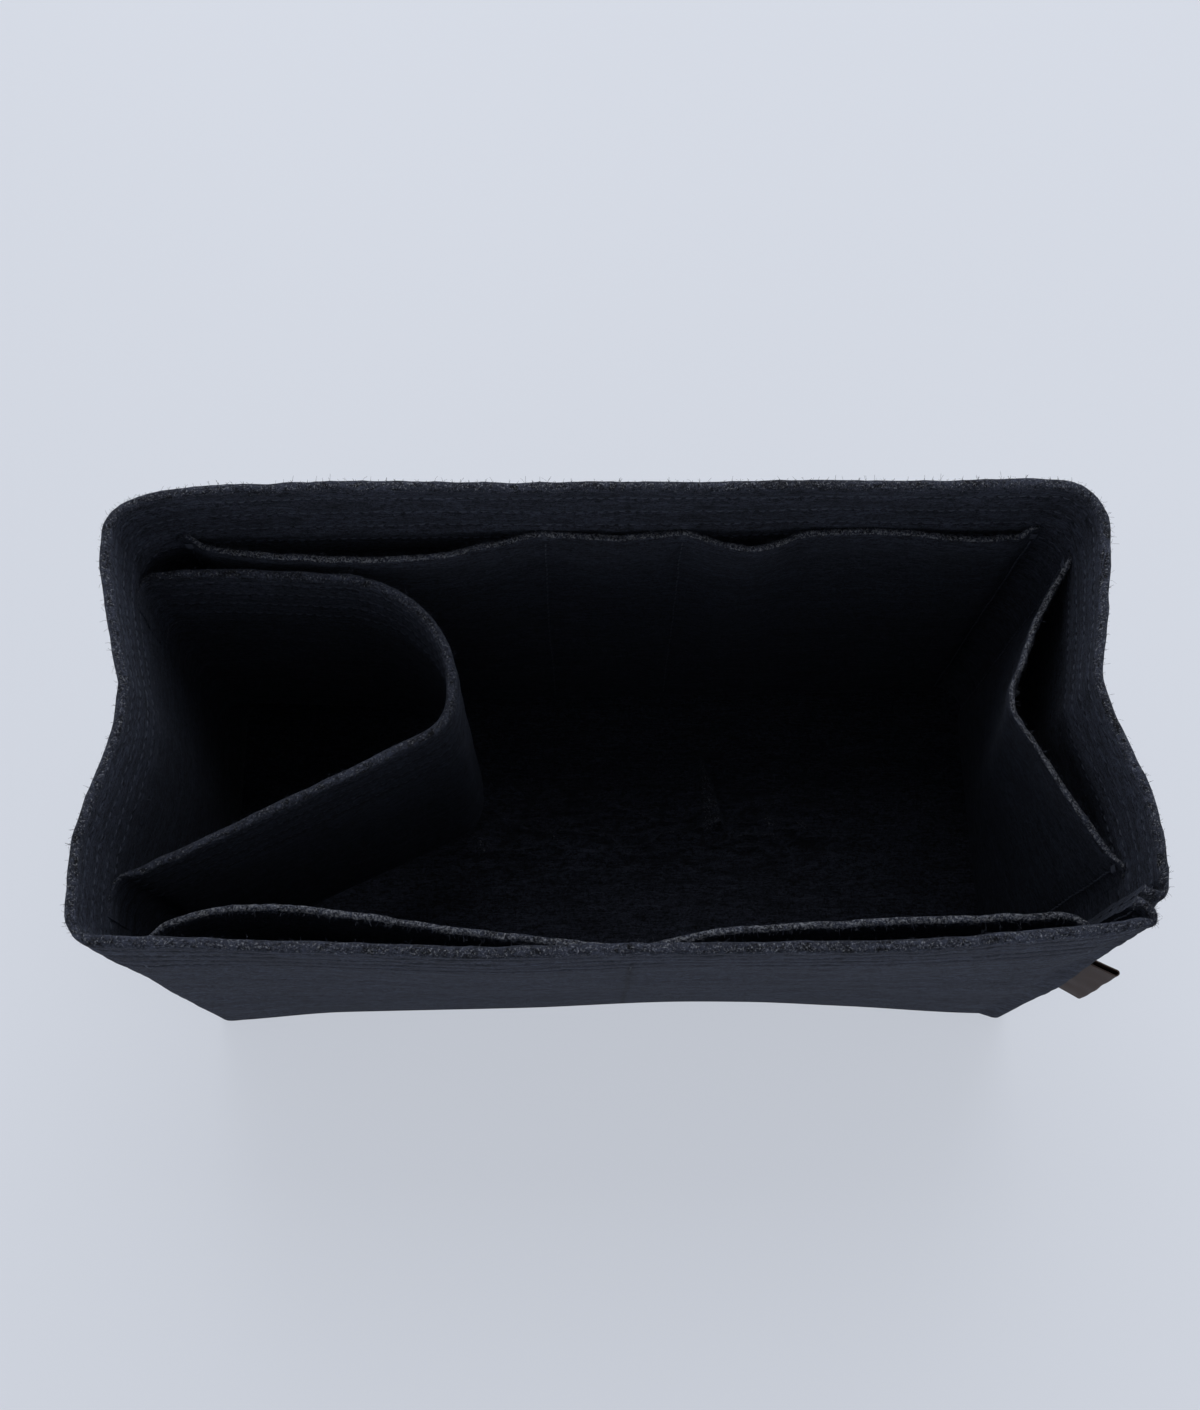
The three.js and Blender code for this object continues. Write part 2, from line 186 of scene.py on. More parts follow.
# Finishes

def linear(code):   # an sRGB hex colour as linear RGBA
    parts = [int(code[i:i + 2], 16) / 255 for i in (1, 3, 5)]
    return [c / 12.92 if c <= 0.04045 else ((c + 0.055) / 1.055) ** 2.4 for c in parts] + [1]


def addNode(tree, kind, sockets, **settings):   # sockets hold values, or outputs to link from
    node = tree.nodes.new(kind)
    for key, value in settings.items():
        setattr(node, key, value)
    for key, value in sockets.items():
        if isinstance(value, bpy.types.NodeSocket):
            tree.links.new(value, node.inputs[key])
        else:
            node.inputs[key].default_value = value
    return node


def newMaterial(name):
    material = bpy.data.materials.new(name)
    material.use_nodes = True
    material.node_tree.nodes.clear()
    return material, material.node_tree


def seenPlainly(tree):   # 1 for rays to the camera, from a mirror or through glass
    rays = addNode(tree, "ShaderNodeLightPath", {}).outputs
    mirrored = addNode(tree, "ShaderNodeMath", {
        0: rays["Is Glossy Ray"], 1: rays["Is Transmission Ray"],
    }, operation="MAXIMUM").outputs[0]
    return addNode(tree, "ShaderNodeMath", {
        0: rays["Is Camera Ray"], 1: mirrored,
    }, operation="MAXIMUM").outputs[0]


def perMetre(size):   # a pattern's scale from its real size in mm
    return metre / size


def makeNeedledFelt():
    # Polyester felt, needle punched and matt: tangled fibres, lying mostly along the cloth, that catch light
    # at grazing angles, pale lint where the rim and the cut edges are rubbed, painted shade as darker felt
    # along the stitch rows, the front seam and the base's wrinkle valleys, and painted highlight as pale lint
    # on the base's raised wrinkles. Fibres are drawn about 0.5 mm wide so that they show.
    look = {
        "deep": "#06070b", "fibre": "#373c4b", "lint": "#a3a7b0", "sheen": "#8490aa",
        "tangle": 1.1, "streak": 5, "streakThin": 5, "patch": 26, "fleck": 0.7,
    }
    material, tree = newMaterial("needledFelt")
    place = addNode(tree, "ShaderNodeAttribute", {}, attribute_name="lay").outputs["Vector"]
    wearAndPaintedLight = addNode(tree, "ShaderNodeAttribute", {}, attribute_name="wearAndPaintedLight").outputs["Fac"]
    lying = addNode(tree, "ShaderNodeVectorMath", {
        0: place, 1: (1, 1, look["streakThin"]),
    }, operation="MULTIPLY").outputs[0]
    streak = addNode(tree, "ShaderNodeTexNoise", {
        "Vector": lying, "Scale": perMetre(look["streak"]), "Detail": 4, "Roughness": 0.65, "Distortion": 1.4,
    }).outputs[0]
    tangle = addNode(tree, "ShaderNodeTexNoise", {
        "Vector": place, "Scale": perMetre(look["tangle"]), "Detail": 3, "Roughness": 0.7, "Distortion": 1.2,
    }).outputs[0]
    patch = addNode(tree, "ShaderNodeTexNoise", {
        "Vector": lying, "Scale": perMetre(look["patch"]), "Detail": 4, "Roughness": 0.6,
    }).outputs[0]
    fleck = addNode(tree, "ShaderNodeTexNoise", {
        "Vector": place, "Scale": perMetre(look["fleck"]), "Detail": 2, "Roughness": 0.8, "Distortion": 0.6,
    }).outputs[0]
    fibres = addNode(tree, "ShaderNodeMath", {0: tangle, 1: streak}, operation="ADD").outputs[0]
    shade = addNode(tree, "ShaderNodeMapRange", {
        "Value": fibres, "From Min": 0.82, "From Max": 1.2,
    }).outputs[0]
    uneven = addNode(tree, "ShaderNodeMapRange", {
        "Value": patch, "From Min": 0.32, "From Max": 0.68, "To Min": 0.6, "To Max": 1.14,
    }).outputs[0]
    paintedShadeFactor = addNode(tree, "ShaderNodeMapRange", {   # wear below nought is painted shade: darker felt along stitch rows, the front seam and the base's wrinkle valleys
        "Value": wearAndPaintedLight, "From Min": -1, "From Max": 0, "To Min": 0.1,
    }).outputs[0]
    share = addNode(tree, "ShaderNodeMath", {0: shade, 1: uneven}, operation="MULTIPLY").outputs[0]
    share = addNode(tree, "ShaderNodeMath", {0: share, 1: paintedShadeFactor}, operation="MULTIPLY").outputs[0]
    # sockets 6 and 7 of a Mix node are its two colours, and output 2 the mixed one
    body = addNode(tree, "ShaderNodeMix", {
        0: share, 6: linear(look["deep"]), 7: linear(look["fibre"]),
    }, data_type="RGBA").outputs[2]
    bare = addNode(tree, "ShaderNodeMapRange", {
        "Value": wearAndPaintedLight, "To Min": 0.78, "To Max": 0.47,
    }).outputs[0]
    above = addNode(tree, "ShaderNodeMath", {0: fleck, 1: bare}, operation="SUBTRACT").outputs[0]
    lint = addNode(tree, "ShaderNodeMapRange", {
        "Value": above, "From Min": 0, "From Max": 0.16, "To Max": 0.46,
    }).outputs[0]
    colour = addNode(tree, "ShaderNodeMix", {
        0: lint, 6: body, 7: linear(look["lint"]),
    }, data_type="RGBA").outputs[2]
    rough = addNode(tree, "ShaderNodeMapRange", {
        "Value": fibres, "From Min": 0.7, "From Max": 1.35, "To Min": 0.98, "To Max": 0.86,
    }).outputs[0]
    coarse = addNode(tree, "ShaderNodeBump", {"Height": streak, "Strength": 1, "Distance": 0.6 / metre})
    fine = addNode(tree, "ShaderNodeBump", {
        "Height": tangle, "Strength": 1, "Distance": 0.4 / metre, "Normal": coarse.outputs[0],
    })
    shader = addNode(tree, "ShaderNodeBsdfPrincipled", {
        "Base Color": colour, "Roughness": rough, "Normal": fine.outputs[0],
        "IOR": 1.5, "Specular IOR Level": 0.2,
        "Sheen Weight": 0.1, "Sheen Roughness": 0.45, "Sheen Tint": linear(look["sheen"]),
    })
    addNode(tree, "ShaderNodeOutputMaterial", {"Surface": shader.outputs[0]})
    return material


def makeSpunThread():
    # Spun polyester sewing thread: plies twisted together give it a soft lustre broken by fine ridges.
    look = {"dark": "#191d27", "lit": "#3f4657", "ply": 0.5}
    material, tree = newMaterial("spunThread")
    place = addNode(tree, "ShaderNodeTexCoord", {}).outputs["Object"]
    ply = addNode(tree, "ShaderNodeTexNoise", {
        "Vector": place, "Scale": perMetre(look["ply"]), "Detail": 2, "Distortion": 1,
    }).outputs[0]
    colour = addNode(tree, "ShaderNodeMix", {
        0: ply, 6: linear(look["dark"]), 7: linear(look["lit"]),
    }, data_type="RGBA").outputs[2]
    rough = addNode(tree, "ShaderNodeMapRange", {"Value": ply, "To Min": 0.6, "To Max": 0.8}).outputs[0]
    ridges = addNode(tree, "ShaderNodeBump", {"Height": ply, "Strength": 0.4, "Distance": 0.15 / metre})
    shader = addNode(tree, "ShaderNodeBsdfPrincipled", {
        "Base Color": colour, "Roughness": rough, "Normal": ridges.outputs[0], "IOR": 1.5,
    })
    addNode(tree, "ShaderNodeOutputMaterial", {"Surface": shader.outputs[0]})
    return material


def makeSatinRibbon():
    # Polyester satin ribbon, woven: long floats give a silky band of light across fine crosswise ribs.
    # The ribs are drawn 0.7 mm apart so that they show.
    look = {"warp": "#3c2d29", "weft": "#2a1f1c", "rib": 0.7, "slub": 4}
    material, tree = newMaterial("satinRibbon")
    place = addNode(tree, "ShaderNodeTexCoord", {}).outputs["Object"]
    ribs = addNode(tree, "ShaderNodeTexWave", {
        "Vector": place, "Scale": perMetre(look["rib"]) / (2 * math.pi), "Distortion": 0.4,
    }, wave_type="BANDS", bands_direction="Z").outputs[1]
    slub = addNode(tree, "ShaderNodeTexNoise", {
        "Vector": place, "Scale": perMetre(look["slub"]), "Detail": 3,
    }).outputs[0]
    woven = addNode(tree, "ShaderNodeMath", {0: ribs, 1: slub}, operation="MULTIPLY").outputs[0]
    colour = addNode(tree, "ShaderNodeMix", {
        0: woven, 6: linear(look["weft"]), 7: linear(look["warp"]),
    }, data_type="RGBA").outputs[2]
    rough = addNode(tree, "ShaderNodeMapRange", {"Value": slub, "To Min": 0.5, "To Max": 0.68}).outputs[0]
    relief = addNode(tree, "ShaderNodeBump", {"Height": ribs, "Strength": 0.35, "Distance": 0.12 / metre})
    shader = addNode(tree, "ShaderNodeBsdfPrincipled", {
        "Base Color": colour, "Roughness": rough, "Normal": relief.outputs[0], "Specular IOR Level": 0.2,
    })
    addNode(tree, "ShaderNodeOutputMaterial", {"Surface": shader.outputs[0]})
    return material


def makePaleBoard():
    # Matt painted board under the insert, nearly white and a little cool.
    look = {"pale": "#dadfe9", "shade": "#d5dae4", "cloud": 600, "glow": 0.66, "strength": 1.06}
    material, tree = newMaterial("paleBoard")
    place = addNode(tree, "ShaderNodeTexCoord", {}).outputs["Object"]
    cloud = addNode(tree, "ShaderNodeTexNoise", {
        "Vector": place, "Scale": perMetre(look["cloud"]), "Detail": 1,
    }).outputs[0]
    colour = addNode(tree, "ShaderNodeMix", {
        0: cloud, 6: linear(look["pale"]), 7: linear(look["shade"]),
    }, data_type="RGBA").outputs[2]
    matt = addNode(tree, "ShaderNodeBsdfPrincipled", {
        "Base Color": colour, "Roughness": 0.9, "Specular IOR Level": 0.1,
    })
    # where it is seen, two thirds of it glows by itself, so that shadows stay as faint as on a lit table
    glow = addNode(tree, "ShaderNodeEmission", {"Color": colour, "Strength": look["strength"]})
    part = addNode(tree, "ShaderNodeMath", {
        0: seenPlainly(tree), 1: look["glow"],
    }, operation="MULTIPLY").outputs[0]
    shader = addNode(tree, "ShaderNodeMixShader", {0: part, 1: matt.outputs[0], 2: glow.outputs[0]})
    addNode(tree, "ShaderNodeOutputMaterial", {"Surface": shader.outputs[0]})
    return material


needledFelt = makeNeedledFelt()
spunThread = makeSpunThread()
satinRibbon = makeSatinRibbon()
paleBoard = makePaleBoard()
print("finishes made")


# Meshes and how the pieces move


# wear runs from painted shade, -1, to rubbed, 1, with painted highlight too on the base's raised wrinkles,
# and lay is a point's place in the flat cloth
def makePiece(name, points, faces, material, wearAndPaintedLight=None, lay=None):
    mesh = bpy.data.meshes.new(name)
    mesh.from_pydata((points / metre).tolist(), [], faces)
    solid = bmesh.new()
    solid.from_mesh(mesh)
    bmesh.ops.recalc_face_normals(solid, faces=solid.faces)
    solid.to_mesh(mesh)
    solid.free()
    mesh.polygons.foreach_set("use_smooth", [True] * len(mesh.polygons))
    mesh.set_sharp_from_angle(angle=math.radians(55))
    if wearAndPaintedLight is not None:
        wearAndPaintedLight = wearAndPaintedLight.astype(np.float32).ravel()
        mesh.attributes.new("wearAndPaintedLight", "FLOAT", "POINT").data.foreach_set("value", wearAndPaintedLight)
        lay = (lay / metre).astype(np.float32).ravel()
        mesh.attributes.new("lay", "FLOAT_VECTOR", "POINT").data.foreach_set("vector", lay)
    mesh.materials.append(material)
    piece = bpy.data.objects.new(name, mesh)
    bpy.context.scene.collection.objects.link(piece)
    return piece


def carry(piece, node, body):   # body "between" is felt that folds between the shell and the front
    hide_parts(node)
    if body == "between":
        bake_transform(piece)
    else:
        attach(piece, body)


# Routes in plan: each point has a place and the direction to the left of travel

def straight(x0, y0, x1, y1, step):
    length = math.hypot(x1 - x0, y1 - y0)
    t = np.linspace(0, 1, max(1, round(length / step)) + 1)
    left = (-(y1 - y0) / length, (x1 - x0) / length)
    return np.column_stack([mix(x0, x1, t), mix(y0, y1, t), np.tile(left, (len(t), 1))])


def turn(x, y, radius, start, end, step):
    count = max(3, round(abs(math.radians(end - start)) * radius / step))
    angle = np.radians(np.linspace(start, end, count + 1))
    side = -math.copysign(1, end - start)
    out = np.column_stack([np.cos(angle), np.sin(angle)])
    return np.hstack([np.array([x, y]) + radius * out, side * out])


def route(*stretches):
    return np.vstack([stretches[0]] + [stretch[1:] for stretch in stretches[1:]])


def rounded(corners, step, fine):   # stretches between corners, each rounded by its third number
    corners = np.array(corners, float)
    spot, stretches = corners[0, 0:2], []
    for before, corner, after in zip(corners, corners[1:], corners[2:]):
        come, go = corner[0:2] - before[0:2], after[0:2] - corner[0:2]
        come, go = come / np.linalg.norm(come), go / np.linalg.norm(go)
        bend = math.atan2(come[0] * go[1] - come[1] * go[0], come @ go)
        radius = corner[2]
        cut = radius * math.tan(abs(bend) / 2)
        first = corner[0:2] - cut * come
        centre = first + math.copysign(radius, bend) * np.array([-come[1], come[0]])
        begin = math.degrees(math.atan2(first[1] - centre[1], first[0] - centre[0]))
        stretches.append(straight(*spot, *first, step))
        stretches.append(turn(*centre, radius, begin, begin + math.degrees(bend), min(fine, radius / 4)))
        spot = corner[0:2] + cut * go
    return stretches + [straight(*spot, *corners[-1, 0:2], step)]


def distances(line):
    return np.concatenate([[0], np.cumsum(np.linalg.norm(np.diff(line, axis=0), axis=1))])


# Sections of a strip: each row has depth and height of its outer face, the same of its inner face, and wear,
# which holds painted shade below nought

def heights(bottom, top, rows=()):   # close together where stitching presses the felt
    spots = [np.linspace(bottom, top, max(2, round((top - bottom) / 4) + 1))]
    near = np.array([-2.4, -1.6, -1.0, -0.5, 0, 0.5, 1.0, 1.6, 2.4])
    spots += [row + near for row in rows]
    found = np.unique(np.round(np.concatenate(spots), 2))
    found = found[(found >= bottom) & (found <= top)]
    return found[np.concatenate([[True], np.diff(found) > 0.25])]


def groove(z, rows):
    row = np.array(rows)[:, None]
    return cloth["groove"] * np.exp(-((z - row) / cloth["grooveWide"]) ** 2 * 2).sum(0)


# painted shade along the rows of stitches: darker felt standing in for the shading of their grooves
def rowShade(z, rows):
    row = np.array(rows)[:, None]
    return cloth["rowPaintedShade"] * np.exp(-((z - row) / cloth["rowPaintedShadeWide"]) ** 2).sum(0)


def rawEdge(depth, z, turned):   # rows that round a cut edge over, from its faces to its middle
    angle = np.radians([30, 55, 75, 87])
    inset = (depth[1] - depth[0]) / 2 * (1 - np.cos(angle))
    reach = z + turned * cloth["edgeRound"] * np.sin(angle)
    return np.column_stack([depth[0] + inset, reach, depth[1] - inset, reach, np.full(4, 1.0)])


def hemmedSection(bottom, top, hem, rows, worn):
    slit, edge = cloth["fold"] / 2, cloth["edgeRound"]
    up = heights(bottom, top - pressed, rows)

    def backing(z):   # the outer layer is pressed where the hem lies on it
        return mix(thick, pressed - slit, ease(z, top - hem + 2, top - hem + 8))

    def sideWear(z):
        return 0.5 * worn * ease(z, top - cloth["rimFade"], top)
    # the outer face gets painted shade along each row of stitches
    rise = np.column_stack([
        groove(up, rows), up, backing(up), up,
        sideWear(up) - rowShade(up, rows),
    ])
    angle = np.radians(np.linspace(0, 180, 15)[1:-1])
    over = np.column_stack([
        pressed - pressed * np.cos(angle), top - pressed + pressed * np.sin(angle),
        pressed - slit * np.cos(angle), top - pressed + slit * np.sin(angle),
        worn * mix(0.6, 1, np.sin(angle)),
    ])
    down = heights(top - hem + edge, top - pressed, rows)[::-1]
    under = backing(down) + 2 * slit
    face = under + (pressed - slit) * mix(cloth["hemEdge"], 1, ease(down, top - hem, top - hem + 10))
    inside = np.column_stack([
        face - groove(down, rows), down, under, down, sideWear(down),
    ])
    end = rawEdge((face[-1], under[-1]), top - hem + edge, -1)
    return np.vstack([rise, over, inside, end])


def wallFace(z):   # how far in a piece sewn to a wall lies, over the hem or below it
    low = height - cloth["hem"]
    return mix(pocketFoot, hemFace, ease(z, low - 7, low + 7))


def pocketSection(top):
    edge = cloth["edgeRound"]
    nearMouth = top - edge - np.array([0.8, 1.8])
    up = np.unique(np.concatenate([np.linspace(pocketFoot, top - edge, 34), nearMouth]))
    seat = wallFace(up)
    face = np.column_stack([seat, up, seat + thick, up, ease(up, top - 1.6, top)])
    return np.vstack([face, rawEdge((hemFace, hemFace + thick), top - edge, 1)])


def sweep(line, section, inside=1, gape=None, foot=None, hook=None, press=None):
    grids = []
    for depth, z in (section[:, 0:2].T, section[:, 2:4].T):
        reach = np.tile(depth, (len(line), 1)) + (0 if gape is None else gape(z))
        level = np.tile(z, (len(line), 1))
        if foot is not None:     # squeezed up from below
            level = foot[:, None] + level * (1 - foot[:, None] / height)
        if hook is not None:
            level = level + hook(z)
        if press is not None:    # pressed towards a seat
            share, seat = press
            reach = reach + (seat - depth) * (1 - share[:, None])
        flat = line[:, None, 0:2] + inside * reach[..., None] * line[:, None, 2:4]
        grids.append(np.concatenate([flat, level[..., None]], -1))
    return grids


def sheetFaces(columns, rows):   # a closed sheet: two faces, a strip along top and bottom, and two ends
    spot = np.arange(2 * columns * rows).reshape(2, columns, rows)
    outer, inner = spot

    def quads(a, b, c, d):
        return np.stack([a, b, c, d], -1).reshape(-1, 4)
    return np.vstack([
        quads(outer[:-1, :-1], outer[1:, :-1], outer[1:, 1:], outer[:-1, 1:]),
        quads(inner[:-1, :-1], inner[:-1, 1:], inner[1:, 1:], inner[1:, :-1]),
        quads(outer[:-1, 0], inner[:-1, 0], inner[1:, 0], outer[1:, 0]),
        quads(outer[:-1, -1], outer[1:, -1], inner[1:, -1], inner[:-1, -1]),
        quads(outer[0, :-1], outer[0, 1:], inner[0, 1:], inner[0, :-1]),
        quads(outer[-1, :-1], inner[-1, :-1], inner[-1, 1:], outer[-1, 1:]),
    ]).tolist()


# Loose fibres stand off the rim and the cut edges, drawn coarser than real ones so that they show
fuzz = {
    "perMm": 6, "long": (0.35, 1.0), "thin": 0.04, "sunk": 0.15, "lean": 0.9,
    "wornFrom": 0.25, "pale": 0.8,
}


def looseFibres(points, wearAndPaintedLight, length, seed):
    rng = np.random.default_rng(seed)
    worn = np.argwhere(wearAndPaintedLight > fuzz["wornFrom"])
    spot = worn[rng.choice(len(worn), round(fuzz["perMm"] * length))]
    outer, inner = points[0][tuple(spot.T)], points[1][tuple(spot.T)]
    out = (outer - inner) / np.linalg.norm(outer - inner, axis=1, keepdims=True)
    long = rng.uniform(*fuzz["long"], (len(spot), 1)) ** 1.5
    lean = fuzz["lean"] * rng.normal(size=(2, len(spot), 3))
    start = outer - fuzz["sunk"] * out
    middle = outer + 0.5 * long * (out + 0.6 * lean[0])
    tip = middle + 0.5 * long * (0.6 * out + lean[0] + 0.5 * lean[1])
    rings = np.stack([start, middle, tip], 1)[:, :, None]
    across = np.cross(tip - start, [0.3, 0.5, 0.8])
    across /= np.linalg.norm(across, axis=1, keepdims=True)
    other = np.cross(out, across)
    angle = np.radians([0, 120, 240])[:, None]
    ring = across[:, None] * np.cos(angle) + other[:, None] * np.sin(angle)
    return rings + fuzz["thin"] * ring[:, None]


def makeStrip(name, node, body, line, section, cut, held, paintedShade=0, **shape):
    grids = np.stack(sweep(line, section, **shape))
    wearAndPaintedLight = np.broadcast_to(section[:, 4], grids.shape[:3]).copy()
    # painted shade given here darkens the outer face
    wearAndPaintedLight[0] -= paintedShade
    frayed = np.stack([drift(grids, cloth["frayLong"], seed) for seed in (11, 12, 13)], -1)
    points = stand(grids + cloth["fray"] * np.clip(wearAndPaintedLight, 0, 1)[..., None] * frayed)
    length = distances(line[:, 0:2])[-1]
    fibres = looseFibres(points, wearAndPaintedLight[0], length, len(line))
    faces = sheetFaces(*grids.shape[1:3])
    first = points.size // 3
    faces += [[corner + first for corner in face] for face in strandFaces(*fibres.shape[:3])]
    points, lay = [
        np.concatenate([part.reshape(-1, 3), fibres.reshape(-1, 3)]) for part in (points, grids)
    ]
    wearAndPaintedLight = np.concatenate([wearAndPaintedLight.ravel(), np.full(fibres.size // 3, fuzz["pale"])])
    piece = makePiece(name, points, faces, needledFelt, wearAndPaintedLight, lay)
    carry(piece, node, body)
    print(f"{name}: cut {length:.0f} x {cut:.0f} mm, {len(piece.data.polygons)} faces")


# Stitches: each is a short closed strand whose ends dive into the felt

stitch = {
    "pitch": 3.3, "length": 2.7, "round": 0.27, "slant": 0.12, "sides": 6,
    "proud": 0.2, "seamProud": -0.22,   # how far a thread's middle lies above the felt, in hems and in seams
    "sunk": 0.5,
}


def strands(line, side, out, proud):
    s = stitch
    along = distances(line)
    count = max(1, int(along[-1] // s["pitch"]))
    starts = (np.arange(count) + 0.5) * along[-1] / count - s["length"] / 2
    t = np.array([0, 0.12, 0.35, 0.65, 0.88, 1])
    at = (starts[:, None] + t * s["length"]).ravel()
    middle, sideways, outward = [
        np.column_stack([np.interp(at, along, values[:, k]) for k in range(3)]).reshape(count, len(t), 1, 3)
        for values in (line, side, out)
    ]
    arch = np.sin(math.pi * t)
    lift = (mix(-s["sunk"], proud, arch ** 0.5)).reshape(1, -1, 1, 1)
    slant = (s["slant"] * (1 - 2 * t)).reshape(1, -1, 1, 1)
    girth = (s["round"] * mix(0.5, 1, arch ** 0.5)).reshape(1, -1, 1, 1)
    angle = np.linspace(0, 2 * math.pi, s["sides"], endpoint=False).reshape(1, 1, -1, 1)
    return (middle + outward * (lift + girth * np.cos(angle)) + sideways * (slant + girth * np.sin(angle)))


def strandFaces(count, rings, sides):
    spot = np.arange(count * rings * sides).reshape(count, rings, sides)
    ahead = np.roll(spot, -1, axis=2)
    skin = np.stack([spot[:, :-1], ahead[:, :-1], ahead[:, 1:], spot[:, 1:]], -1).reshape(-1, 4)
    caps = np.concatenate([spot[:, 0, ::-1], spot[:, -1]])
    return skin.tolist() + caps.tolist()


def makeStitches(name, node, body, runs, proud=stitch["seamProud"]):
    rows = np.concatenate([strands(*run, proud) for run in runs])
    points = stand(rows)
    piece = makePiece(name, points.reshape(-1, 3), strandFaces(*rows.shape[:3]), spunThread)
    carry(piece, node, body)


def levelRun(line, z, depth, facing, inside=1):   # along a strip at one height
    count = len(line)
    spots = line[:, 0:2] + inside * depth * line[:, 2:4]
    out = np.column_stack([inside * facing * line[:, 2:4], np.zeros(count)])
    up = np.tile([0.0, 0, 1], (count, 1))
    return np.column_stack([spots, np.full(count, z)]), up, out


def hemRuns(line, z, inside=1):   # both sides of a hem show each row
    depth = cloth["groove"]
    outer = levelRun(line, z, depth + cloth["rowSunk"], -1, inside)
    return [outer, levelRun(line, z, 2 * pressed - depth, 1, inside)]


def climbRun(spot, left, section, facing):   # up a strip, on one of its faces
    depth, z = section[:, 0] if facing < 0 else section[:, 2], section[:, 1]
    left, ahead = np.array(left), np.array([left[1], -left[0]])
    flat = np.array(spot) + depth[:, None] * left
    count = len(z)
    out = np.tile([*(facing * left), 0.0], (count, 1))
    return np.column_stack([flat, z]), np.tile([*ahead, 0.0], (count, 1)), out


# Walls: one strip of felt, closed by a seam at the front right corner

walls = {
    "backRound": 14, "frontRound": 9, "worn": 0.78,
    "rimRows": (6, 14.5, 23, 31.5),    # stitching, counted down from the rim
    "baseRow": 5,
    "seamFold": 2.6, "squeezed": 0.62, "allowance": 6.5, "seamTurn": 135,
    "step": 2.4, "bendStep": 1.0,
    "frontSeam": 4, "seamPaintedShade": 0.8, "seamPaintedShadeWide": 0.9,   # painted shade, darker felt, along the line where a pocket's middle seam shows on the front
    "seamNear": 3, "seamStep": 0.5,
    "footFade": 6, "squeezeFade": 4,
}


def wallRoutes():
    w = walls
    step, fine = w["step"], w["bendStep"]
    diagonal = math.sqrt(0.5)
    shift = cloth["gap"] / 2 / diagonal
    tangent = w["seamFold"] * math.tan(math.radians(w["seamTurn"] / 2))
    near, far = tangent * diagonal, (tangent + w["allowance"]) * diagonal
    back, front = w["backRound"], w["frontRound"]
    finX, finY = halfWidth - shift, -halfDepth + shift
    foldX, foldY = finX - tangent, finY + tangent
    seamFrom, seamTo = w["frontSeam"] - w["seamNear"], w["frontSeam"] + w["seamNear"]
    frontWall = route(
        straight(-halfWidth + front, -halfDepth, seamFrom, -halfDepth, step),
        straight(seamFrom, -halfDepth, seamTo, -halfDepth, w["seamStep"]),
        straight(seamTo, -halfDepth, foldX, -halfDepth, step),
        turn(foldX, -halfDepth + w["seamFold"], w["seamFold"], -90, w["seamTurn"] - 90, fine / 2),
        straight(finX - near, -halfDepth + near, finX - far, -halfDepth + far, fine),
    )
    rightWall = route(
        straight(halfWidth - far, finY + far, halfWidth - near, finY + near, fine),
        turn(halfWidth - w["seamFold"], foldY, w["seamFold"], -w["seamTurn"], 0, fine / 2),
        straight(halfWidth, foldY, halfWidth, halfDepth - back, step),
        turn(halfWidth - back, halfDepth - back, back, 0, 90, fine),
    )
    backWall = straight(halfWidth - back, halfDepth, -halfWidth + back, halfDepth, step)
    leftWall = route(
        turn(-halfWidth + back, halfDepth - back, back, 90, 180, fine),
        straight(-halfWidth, halfDepth - back, -halfWidth, -halfDepth + front, step),
        turn(-halfWidth + front, -halfDepth + front, front, 180, 270, fine),
    )
    return frontWall, rightWall, backWall, leftWall, foldX, foldY


frontRoute, rightRoute, backRoute, leftRoute, seamX, seamY = wallRoutes()
rimRows = [height - drop for drop in walls["rimRows"]]
wallSection = hemmedSection(0, height, cloth["hem"], rimRows, walls["worn"])
wallCut = height + cloth["hem"]

# the turned corner is trimmed to stand on the base
footFade, squeezeFade = walls["footFade"], walls["squeezeFade"]
alongFront = frontRoute[:, 0]
frontFoot = pocketFoot * ease(alongFront + frontRoute[:, 1], seamX - halfDepth, seamX - halfDepth + footFade)
frontFoot[:len(frontFoot) // 2] = 0
rightFoot = pocketFoot * (1 - ease(rightRoute[:, 1], seamY - footFade, seamY))
frontThin = 1 - (1 - walls["squeezed"]) * ease(alongFront, seamX - squeezeFade, seamX) * (alongFront > 0)
rightThin = 1 - (1 - walls["squeezed"]) * ease(-rightRoute[:, 1], -seamY - squeezeFade, -seamY)
# painted shade, darker felt, along the front pocket's middle seam on the outer face of the wall
fromSeam = (alongFront - walls["frontSeam"]) / walls["seamPaintedShadeWide"]
seamShadeLine = walls["seamPaintedShade"] * np.exp(-fromSeam ** 2)
outerFace = (wallSection[:, 0] < thick / 2) & (wallSection[:, 1] < rimRows[2])
makeStrip("frontWall", "front_wall", "front", frontRoute, wallSection, wallCut, "folded",
          foot=frontFoot, press=(frontThin, 0), paintedShade=np.outer(seamShadeLine, outerFace))
makeStrip("rightEndWall", "right_end_wall", "between", rightRoute, wallSection, wallCut, "folded",
          foot=rightFoot, press=(rightThin, 0))
makeStrip("backWall", "back_wall", "shell", backRoute, wallSection, wallCut, "folded")
makeStrip("leftEndWall", "left_end_wall", "between", leftRoute, wallSection, wallCut, "folded")

